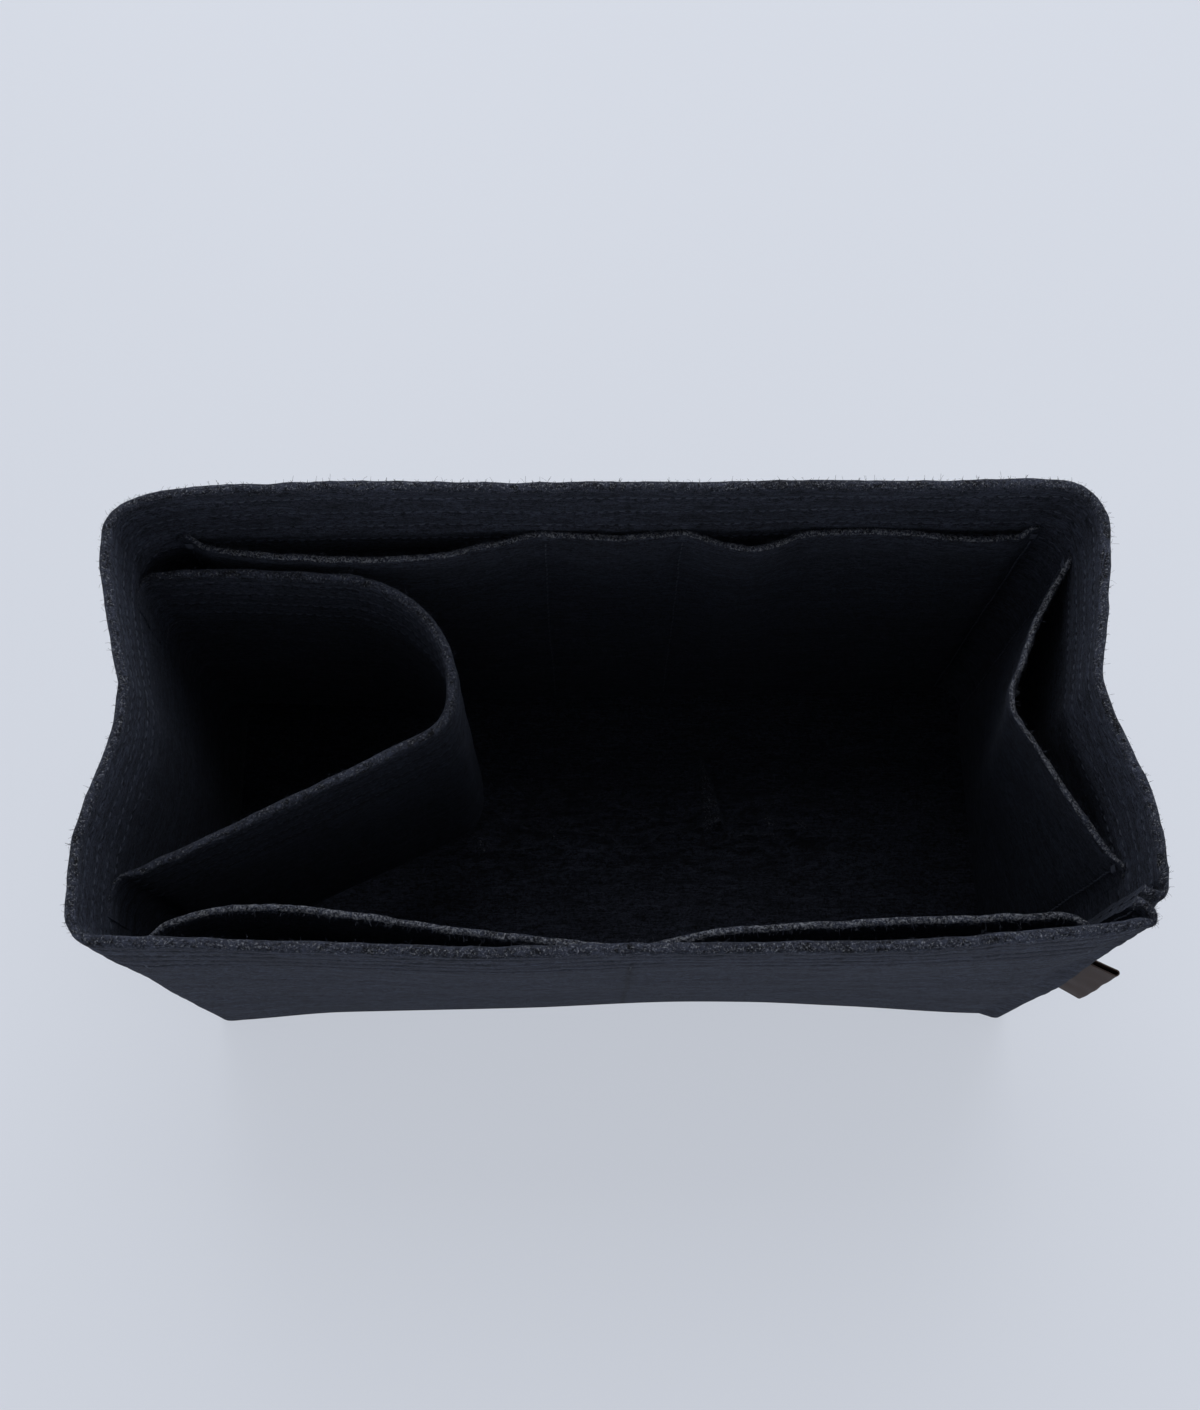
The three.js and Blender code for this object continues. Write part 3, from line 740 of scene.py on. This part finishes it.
frontSewn = frontRoute[frontRoute[:, 1] <= -halfDepth + 0.01]
roundSewn = route(rightRoute[rightRoute[:, 1] >= seamY], backRoute, leftRoute)
for i, z in enumerate(rimRows, 1):
    makeStitches(f"rimStitchesFront{i}", f"rim_thread_front_{i}", "front",
                 hemRuns(frontSewn, z), stitch["proud"])
    makeStitches(f"rimStitchesRound{i}", f"rim_thread_round_{i}", "between",
                 hemRuns(roundSewn, z), stitch["proud"])
baseRow = walls["baseRow"]
makeStitches("baseStitchesFront", "base_thread_front", "front", [levelRun(frontSewn, baseRow, 0, -1)])
makeStitches("baseStitchesRound", "base_thread_round", "between", [levelRun(roundSewn, baseRow, 0, -1)])
print("walls and rim stitched")

# the corner seam is sewn up the middle of the allowance
seamSpot = frontRoute[-round(walls["allowance"] / 2 / walls["bendStep"])]
upSeam = np.linspace(pocketFoot + 2, height - 5, 40)
innerSeam = np.where(upSeam > height - cloth["hem"], 2 * pressed, thick)
seamRows = np.column_stack([innerSeam, upSeam, innerSeam, upSeam])
makeStitches("cornerStitches", "corner_seam_thread", "front",
             [climbRun(seamSpot[0:2], seamSpot[2:4], seamRows, 1)])


# Pockets: strips sewn to the walls at their seams, gaping in between

pockets = {
    "drop": 26,            # mouths below the rim
    "endFlat": 4, "endThin": 0.12,    # felt past the last seam, pressed down by it
    "hook": 2.6, "hookWide": 5, "hookLow": 14,    # the corners of a strip are drawn up by their tacks
    "seamDeep": 0.35, "seamWide": 1.3,    # a seam pulls the felt in
    "step": 1.25,
    # seams along the wall, and knots of how far the mouth stands off it
    "back": {
        "seams": (-131.5, -20, 24, 136),
        "mouth": ((-131.5, 0), (-125, 3), (-112, 5.9), (-97, 7.3), (-75, 8.3), (-56, 7.6), (-43, 5.2),
                  (-34, 3.1), (-20, 0.1), (3, 1.2), (24, 0), (29, 1.4), (37, 4.4), (45, 5.9), (53, 4.6),
                  (62, 1.2), (83, 0.2), (93, 0.3), (108, 1.7), (120, 2.4), (130, 1.8), (136, 0)),
    },
    "front": {
        "seams": (-136, walls["frontSeam"], 137),
        "mouth": ((-136, 0), (-131, 5.4), (-124, 8.2), (-117, 10), (-106, 11), (-94, 11.1), (-83, 10.2),
                  (-62, 8.3), (-48, 6.5), (-34, 5), (-19, 3.1), (-4, 1), (4, 0.1), (12, 0.9), (21, 2.7),
                  (30, 4.5), (41, 5.3), (53, 6.1), (82, 6.7), (110, 6.2), (125, 6), (132, 4.5), (137, 0)),
    },
    "side": {
        "seams": (-47, 54),
        "mouth": ((-47, 0), (-45, 0.6), (-38, 3.8), (-29, 7.4), (-20, 10.1), (-10, 13.2), (-1, 17.1),
                  (4, 18.9), (9, 18.7), (15, 16.5), (26, 12.6), (36, 8.6), (45, 4.5), (54, 0)),
    },
}
pocketTop = height - pockets["drop"]
pocketRows = pocketSection(pocketTop)


def makePocket(kind, name, node, body, line, axis):
    place = pockets[kind]
    at = line[:, axis]
    mouth = through(place["mouth"], at)
    ends = np.minimum(np.abs(at - place["seams"][0]), np.abs(at - place["seams"][-1]))
    corner = pockets["hook"] * (1 - ease(ends, 0, pockets["hookWide"]))
    past = np.maximum(place["seams"][0] - at, at - place["seams"][-1])
    thin = mix(1, pockets["endThin"], ease(past, -3, pockets["endFlat"]))
    fromSeams = (at[:, None] - np.array(place["seams"][1:-1])) / pockets["seamWide"]
    pull = pockets["seamDeep"] * np.exp(-fromSeams ** 2).sum(1)

    def gape(z):
        opening = ease(z, -pocketTop, pocketTop) * np.clip(z / pocketTop, 0, 1)
        return mouth[:, None] * opening - pull[:, None]

    def hook(z):
        return corner[:, None] * ease(z, pocketTop - pockets["hookLow"], pocketTop)
    cut = pocketTop - pocketFoot
    makeStrip(name, node, body, line, pocketRows, cut, "stretched", gape=gape, hook=hook,
              press=(thin, pocketRows[:, 0] - cloth["bedded"]))


def onWall(kind, at):   # a place on the outer face of a wall, and the way in
    if kind == "side":
        return (halfWidth, at), (-1, 0)
    return ((at, -halfDepth), (0, 1)) if kind == "front" else ((at, halfDepth), (0, -1))


def pocketRoute(kind):
    seams, past = pockets[kind]["seams"], pockets["endFlat"]
    first, last = seams[0] - past, seams[-1] + past
    if kind == "back":
        first, last = last, first
    (x0, y0), _ = onWall(kind, first)
    (x1, y1), _ = onWall(kind, last)
    return straight(x0, y0, x1, y1, pockets["step"])


tack = {"count": 5, "apart": 1.1, "above": 1.6, "half": 1.9, "slant": 0.4, "proud": 0.05}


def tackRuns(kind, at):   # a bar tack across the top of a seam, a few close stitches side by side
    spot, left = onWall(kind, at)
    ahead = np.array([left[1], -left[0]])
    runs = []
    for k in range(tack["count"]):
        z = pocketTop + tack["above"] - k * tack["apart"]
        depth = hemFace + (thick if z < pocketTop - 0.3 else 0) + tack["proud"]
        reach, slant = [tack[key] * np.array([-1, 0, 1]) for key in ("half", "slant")]
        flat = np.array(spot) + reach[:, None] * ahead + depth * np.array(left)
        line = np.column_stack([flat, z + slant])
        runs.append((line, np.tile([0.0, 0, 1], (3, 1)), np.tile([*left, 0.0], (3, 1))))
    return runs


def sewPocket(kind, name, node, body):
    seams = pockets[kind]["seams"]
    if kind == "back":
        seams = seams[::-1]
    face = pocketRows[(pocketRows[:, 1] > pocketFoot + 3) & (pocketRows[:, 1] < pocketTop - 3)]
    outside = face.copy()
    outside[:, 0] = 0
    for i, at in enumerate(seams, 1):
        spot, left = onWall(kind, at)
        runs = [climbRun(spot, left, face, 1), climbRun(spot, left, outside, -1)]
        makeStitches(f"{name}{i}", f"{node}_{i}", body, runs + tackRuns(kind, at))


makePocket("front", "frontPocketStrip", "front_pocket_strip", "front", pocketRoute("front"), 0)
makePocket("side", "sidePocketPanel", "side_pocket_panel", "between", pocketRoute("side"), 1)
makePocket("back", "backPocketStrip", "back_pocket_strip", "shell", pocketRoute("back"), 0)
sewPocket("front", "frontPocketStitches", "front_pocket_thread", "front")
sewPocket("side", "sidePocketStitches", "side_pocket_thread", "between")
sewPocket("back", "backPocketStitches", "back_pocket_thread", "shell")
print("pockets sewn")


# Bottle loop: a hemmed strip that runs out from the left end wall and back

loop = {
    "bottom": 30, "drop": 28, "hem": 35, "worn": 0.72,
    "nose": -47.4, "rear": 56.6, "rearSlope": -0.063, "front": -9.7, "frontAt": -69.2, "frontSlope": 0.484,
    "backRound": 40, "frontRound": 15, "tab": 8, "tabRound": 2.4, "tabThin": 0.1, "tabFrom": 5, "tabTo": 16,
    "rows": (5, 12.5, 20, 27.5),
    "step": 2.2, "bendStep": 1.4,
}


def loopStretches():
    p = loop
    tabX = -halfWidth + hemFace
    frontX = tabX + 2 * pressed

    def rearLeg(x):
        return p["rear"] + p["rearSlope"] * (x - tabX)

    def frontLeg(x):
        return p["front"] + p["frontSlope"] * (x - p["frontAt"])
    rearBend = p["tabRound"] + 2 * pressed
    return rounded([
        (tabX, p["rear"] - rearBend - p["tab"], 0),
        (tabX, p["rear"], rearBend),
        (p["nose"], rearLeg(p["nose"]), p["backRound"]),
        (p["nose"], frontLeg(p["nose"]), p["frontRound"]),
        (frontX, frontLeg(frontX), p["tabRound"]),
        (frontX, frontLeg(frontX) - p["tabRound"] - p["tab"], 0),
    ], p["step"], p["bendStep"])


loopParts = loopStretches()
loopLine, loopMiddle = route(*loopParts), route(*loopParts[2:7])
loopTop = height - loop["drop"]
loopRows = [loopTop - drop for drop in loop["rows"]]
loopSection = hemmedSection(loop["bottom"], loopTop, loop["hem"], loopRows, loop["worn"])
fromEnd = np.minimum(distances(loopLine[:, 0:2]), distances(loopLine[::-1, 0:2])[::-1])
rearHalf = np.arange(len(loopLine)) < len(loopLine) / 2
loopThin = mix(loop["tabThin"], 1, ease(fromEnd, loop["tabFrom"], loop["tabTo"]))   # tabs pressed to the wall
sink = hemFace - wallFace(loopSection[:, 1]) + cloth["bedded"]
loopSeat = np.where(rearHalf[:, None], -sink, 2 * pressed + sink)
makeStrip("bottleLoop", "bottle_loop", "between", loopLine, loopSection,
          loopTop - loop["bottom"] + loop["hem"], "folded", inside=-1, press=(loopThin, loopSeat))
for i, z in enumerate(loopRows, 1):
    makeStitches(f"loopStitches{i}", f"loop_thread_{i}", "between",
                 hemRuns(loopMiddle, z, -1), stitch["proud"])


def sewTab(name, node, tab, inner):
    spot = tab[len(tab) // 2]
    z = np.linspace(loop["bottom"] + 3, mix(loop["bottom"], loopTop, 0.85), 40)
    thin = np.interp(loop["tab"] / 2, fromEnd[:len(loopParts[0])], loopThin[:len(loopParts[0])])
    sink = hemFace - wallFace(z) + cloth["bedded"]
    if inner:
        depth = mix(-sink, np.where(z > loopTop - loop["hem"], 2 * pressed, thick), thin)
    else:
        depth = mix(2 * pressed + sink, 0, thin)
    rows = np.column_stack([depth, z, depth, z])
    makeStitches(name, node, "between", [climbRun(spot[0:2], -spot[2:4], rows, 1 if inner else -1)])


sewTab("loopTabStitchesRear", "loop_tab_thread_rear", loopParts[0], True)
sewTab("loopTabStitchesFront", "loop_tab_thread_front", loopParts[-1], False)
print("bottle loop sewn")


# Base: lies inside the walls, wrinkled along the crease where the box folds flat

base = {
    "step": 1.1,
    "crease": 2, "creaseHigh": 2, "creaseWide": 5,
    "wrinkle": 3.4, "wrinkleLong": 10, "wrinkleBand": 17, "wrinkleFrom": -80, "wrinkleTo": 115,
    # the share of pale lint on the raised wrinkles and the tuck is painted highlight, where light would fall
    # on them
    "wrinkleFade": 40, "ridgeHighlight": 0.75,
    "valleyShade": 0.95, "valleyLong": 7, "valleyShadeBand": 28,    # painted shade, darker felt in dark strokes across the wrinkled band, standing in for shaded valleys
    "tuckTop": (36, 43), "tuckLow": (45, 4), "tuckHigh": 8, "tuckWide": 11, "tuckSteep": 2.5,
    "swell": 0.6, "swellLong": 50,
}


def baseRise(x, y):
    b = base
    level = np.stack([x, y, np.zeros_like(x)], -1)
    crease = b["creaseHigh"] * np.exp(-np.abs(y - b["crease"]) / b["creaseWide"])
    stretched = level * np.array([0.3, 1, 1])
    ridges = np.clip(1 - 1.5 * np.abs(drift(stretched, b["wrinkleLong"], 21)), 0, 1) ** 2
    ridges = ridges + 0.6 * np.clip(1 - 1.7 * np.abs(drift(level, b["wrinkleLong"] * 0.7, 22)), 0, 1) ** 2
    start, end, fade = b["wrinkleFrom"], b["wrinkleTo"], b["wrinkleFade"]
    ends = ease(x, start, start + fade) * (1 - ease(x, end - fade, end))
    band, valleyShadeBand = [
        ends * np.exp(-((y - b["crease"] - 3) / b[key]) ** 2) for key in ("wrinkleBand", "valleyShadeBand")
    ]
    # painted shade: the dark strokes standing in for the shaded valleys between the wrinkles
    lines = np.clip(1 - 2.2 * np.abs(drift(level * np.array([0.45, 1, 1]), b["valleyLong"], 24)), 0, 1)
    # a tuck beside the crease, steep on its right as seen from the front
    top, low = np.array(b["tuckTop"], float), np.array(b["tuckLow"], float)
    run = low - top
    length = np.linalg.norm(run)
    along = ((x - top[0]) * run[0] + (y - top[1]) * run[1]) / length ** 2
    across = ((x - top[0]) * -run[1] + (y - top[1]) * run[0]) / length
    gentle = 1 + across / (b["tuckWide"] * np.clip(along, 0.15, 1))
    slope = np.where(across < 0, gentle, 1 - across / b["tuckSteep"])
    tuck = b["tuckHigh"] * np.clip(slope, 0, 1) * ease(along, 0, 0.5) * (1 - ease(along, 0.93, 1.04))
    swell = b["swell"] * (1 + drift(level, b["swellLong"], 23)) / 2
    inside = ease(halfDepth - np.abs(y), 3, 16) * ease(halfWidth - np.abs(x), 3, 16)
    valleyShade = b["valleyShade"] * valleyShadeBand * lines * (1 - ease(tuck, 0, 3))
    return inside * (crease + b["wrinkle"] * band * ridges + tuck + swell), valleyShade


def makeBase():
    edge = thick + cloth["gap"]
    wide, deep = halfWidth - edge, halfDepth - edge
    rounds = {1: walls["backRound"] - edge, -1: walls["frontRound"] - edge}
    bend = max(rounds.values())
    columns = np.concatenate([
        -wide + bend * (1 - np.cos(np.linspace(0, math.pi / 2, 9)[:-1])),
        np.linspace(-wide + bend, wide - bend, round(2 * wide / base["step"])),
        wide - bend * (1 - np.cos(np.linspace(math.pi / 2, 0, 9)[1:])),
    ])
    rows = np.linspace(0, 1, round(2 * deep / base["step"]))

    def edgeAt(side):
        past = np.clip(np.abs(columns) - (wide - rounds[side]), 0, rounds[side])
        return side * (deep - rounds[side] + np.sqrt(rounds[side] ** 2 - past ** 2))
    x = np.tile(columns[:, None], (1, len(rows)))
    y = mix(edgeAt(-1)[:, None], edgeAt(1)[:, None], rows)
    rise, valleyShade = baseRise(x, y)
    under = np.stack([x, y, np.clip(rise - 0.4, 0, None)], -1)
    upper = np.stack([x, y, thick + rise], -1)
    points = stand(np.stack([under, upper]))
    # painted highlight, pale lint, on the raised wrinkles and the tuck, and painted shade in the valleys
    wearAndPaintedLight = np.tile(base["ridgeHighlight"] * ease(rise, 1.5, 5) - valleyShade, (2, 1, 1))
    lay = np.stack([under, upper])[..., [0, 2, 1]]
    piece = makePiece("basePanel", points.reshape(-1, 3), sheetFaces(*x.shape), needledFelt, wearAndPaintedLight, lay)
    carry(piece, "base_panel", "between")
    print(f"basePanel: cut {2 * wide:.0f} x {2 * deep:.0f} mm")


makeBase()


# Label: a satin ribbon folded in two, its ends caught in the corner seam, left bare

label = {
    "reach": 15, "high": 37, "bottom": 68, "thick": 0.4, "loop": 2.2,
    "inset": (5, 5), "angle": -30, "curl": 0.6, "curlTurn": 2.2, "curlStart": 0.6,
    "heldTo": 2, "freeFrom": 6,    # out from the seam
}


def makeLabel():
    p = label
    angle = math.radians(p["angle"])
    out = np.array([math.cos(angle), math.sin(angle)])
    across = np.array([-out[1], out[0]]) * p["loop"] / 2
    root = np.array([halfWidth - p["inset"][0], -halfDepth + p["inset"][1]])
    tip = root + out * (p["reach"] - p["loop"] / 2)
    line = route(
        straight(*(root - across), *(tip - across), 0.8),
        turn(*tip, p["loop"] / 2, p["angle"] - 90, p["angle"] + 90, 0.25),
        straight(*(tip + across), *(root + across), 0.8),
    )
    z = np.linspace(p["bottom"], p["bottom"] + p["high"], 40)
    full = np.ones_like(z)
    section = np.column_stack([0 * full, z, p["thick"] * full, z, 0 * full])
    grids = np.stack(sweep(line, section))
    far = (grids[..., 0:2] - root) @ out / p["reach"]
    up = (grids[..., 2] - p["bottom"]) / p["high"]
    curl = p["curl"] * far ** 2 * np.sin(p["curlTurn"] * up - p["curlStart"])
    grids[..., 0:2] += curl[..., None] * across / (p["loop"] / 2)
    seam = np.column_stack([np.tile(root, (len(z), 1)), z])
    points = grids + (stand(seam) - seam)
    piece = makePiece("labelTag", points.reshape(-1, 3), sheetFaces(*grids.shape[1:3]), satinRibbon)
    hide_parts("label_tag")
    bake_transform(piece)


makeLabel()


# Stage, light and camera

def makeStage():
    mesh = bpy.data.meshes.new("floor")
    reach = 30   # metres
    corners = [(x * reach, y * reach, 0) for x, y in ((-1, -1), (1, -1), (1, 1), (-1, 1))]
    mesh.from_pydata(corners, [], [(0, 1, 2, 3)])
    mesh.materials.append(paleBoard)
    floor = bpy.data.objects.new("floor", mesh)
    floor.location.z = -0.2 / metre
    bpy.context.scene.collection.objects.link(floor)


def addPanelLight(name, place, size, watts, aim=(0, 0, 0.08)):
    lamp = bpy.data.lights.new(name, "AREA")
    lamp.shape = "SQUARE"
    lamp.size = size
    lamp.energy = watts
    panel = bpy.data.objects.new(name, lamp)
    panel.location = place
    away = np.array(place) - np.array(aim)
    panel.rotation_euler = Vector(away).to_track_quat("Z", "Y").to_euler()
    bpy.context.scene.collection.objects.link(panel)


def makeLight():
    look = {
        "walls": "#f4f6fa", "wallGlow": 3.1, "ceilingGlow": 0.16, "ceilingFrom": 0.5,
        "backdrop": "#d9dee8",
        "softBox": (0.1, 1.1, 1.5), "softBoxSize": 1.6, "softBoxWatts": 20,   # metres
    }
    world = bpy.data.worlds.new("softRoom")
    world.use_nodes = True
    tree = world.node_tree
    tree.nodes.clear()
    # pale walls all round under a dimmer ceiling
    way = addNode(tree, "ShaderNodeTexCoord", {}).outputs["Generated"]
    up = addNode(tree, "ShaderNodeSeparateXYZ", {0: way}).outputs[2]
    level = addNode(tree, "ShaderNodeMapRange", {
        "Value": up, "From Max": look["ceilingFrom"],
        "To Min": look["wallGlow"], "To Max": look["ceilingGlow"],
    }).outputs[0]
    room = addNode(tree, "ShaderNodeBackground", {"Color": linear(look["walls"]), "Strength": level})
    # a plain pale backdrop is seen instead, past the end of the floor
    backdrop = addNode(tree, "ShaderNodeBackground", {"Color": linear(look["backdrop"])})
    both = addNode(tree, "ShaderNodeMixShader", {
        0: seenPlainly(tree), 1: room.outputs[0], 2: backdrop.outputs[0],
    })
    addNode(tree, "ShaderNodeOutputWorld", {"Surface": both.outputs[0]})
    bpy.context.scene.world = world
    addPanelLight("softBox", look["softBox"], look["softBoxSize"], look["softBoxWatts"])


def makeCamera():
    shot = {
        "lens": 37.0, "sensor": 36, "place": (-7.9, -140.5, 562.7),
        "azimuth": -1.72, "elevation": 70.44, "roll": 0.59,
    }
    a, e, r = [math.radians(shot[key]) for key in ("azimuth", "elevation", "roll")]
    back = np.array([math.sin(a) * math.cos(e), -math.cos(a) * math.cos(e), math.sin(e)])
    right = np.array([math.cos(a), math.sin(a), 0])
    up = np.cross(back, right)
    rolledRight = right * math.cos(r) + up * math.sin(r)
    rolledUp = up * math.cos(r) - right * math.sin(r)
    axes = np.column_stack([rolledRight, rolledUp, back])
    lens = bpy.data.cameras.new("camera")
    lens.lens = shot["lens"]
    lens.sensor_width = shot["sensor"]
    lens.clip_start = 0.01
    camera = bpy.data.objects.new("camera", lens)
    place = Matrix.Translation(np.array(shot["place"]) / metre)
    camera.matrix_world = place @ Matrix(axes.tolist()).to_4x4()
    bpy.context.scene.collection.objects.link(camera)
    bpy.context.scene.camera = camera


makeStage()
makeLight()
makeCamera()
bpy.context.scene.view_settings.view_transform = "Standard"
print("stage, light and camera set")
